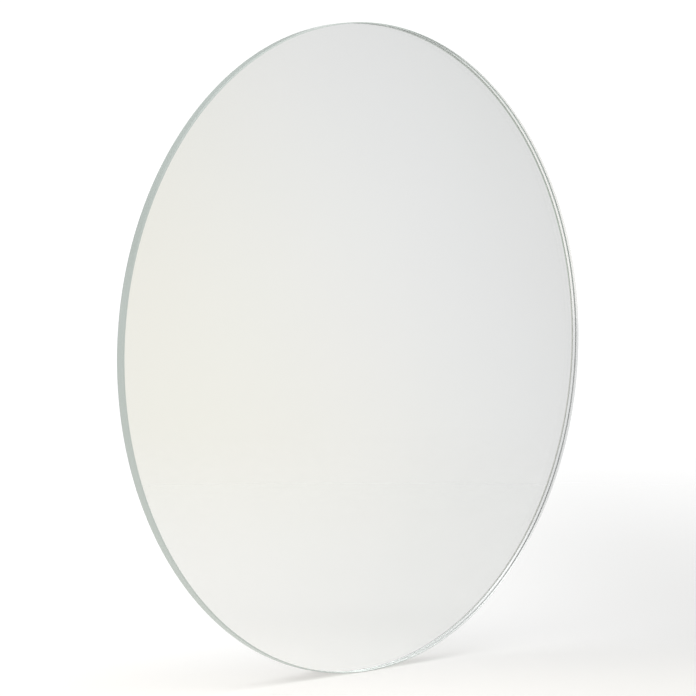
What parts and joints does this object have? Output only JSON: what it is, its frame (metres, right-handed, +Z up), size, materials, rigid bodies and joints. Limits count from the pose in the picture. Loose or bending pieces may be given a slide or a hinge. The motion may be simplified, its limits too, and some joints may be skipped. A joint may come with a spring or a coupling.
{
  "type": "countertop mirror",
  "caption": "Round frameless glass mirror with a backing board, a wire stand that folds flat into the back, and a keyhole hanger.",
  "frame": {"origin": "level with the lowest point of the glass rim, in the middle of the width, and midway in depth between the front of the glass and the tips of the wall bumpers", "axes": "+Z up the mirror, +X to the right as seen from the front, +Y out of the back; the glass faces -Y"},
  "size_m": [0.254, 0.0208, 0.254],
  "materials": {
    "glass": "float glass, polished edge",
    "silver": "chemically silvered",
    "backing_paint": "sprayed and baked paint",
    "safety_film": "polyethylene film with a woven net",
    "foam_tape": "closed-cell acrylic foam",
    "board": "fibreboard, black lacquer",
    "rubber": "moulded, matt",
    "bumper_rubber": "moulded, satin",
    "chrome_rod": "nickel and chrome plated steel",
    "cast_clamp": "zinc casting, satin nickel plated",
    "bush_plastic": "acetal, natural",
    "screw_steel": "bright zinc plated",
    "zinc_plate": "stamped steel, bright zinc plated"
  },
  "bodies": {
    "mirror": {"backing_board": "board", "backing_paint": "backing_paint", "base_foot": "rubber", "clamp_screws": "screw_steel", "foam_tape_lower_left": "foam_tape", "foam_tape_lower_right": "foam_tape", "foam_tape_upper_left": "foam_tape", "foam_tape_upper_right": "foam_tape", "hinge_clamp_left": "cast_clamp", "hinge_clamp_right": "cast_clamp", "keyhole_plate": "zinc_plate", "keyhole_screws": "screw_steel", "mirror_glass": "glass", "pivot_bush_left": "bush_plastic", "pivot_bush_right": "bush_plastic", "safety_film": "safety_film", "silver_layer": "silver", "wall_bumper_lower_left": "bumper_rubber", "wall_bumper_lower_right": "bumper_rubber", "wall_bumper_upper_left": "bumper_rubber", "wall_bumper_upper_right": "bumper_rubber"},
    "stand": {"foot_sleeve_left": "rubber", "foot_sleeve_right": "rubber", "stand_frame": "chrome_rod"}
  },
  "joints": [
    {"name": "stand_swing", "type": "hinge", "parent": "mirror", "child": "stand", "pos_m": [0, 0.00205, 0.15], "axis": [1, 0, 0], "range_deg": [0, 35]}
  ]
}
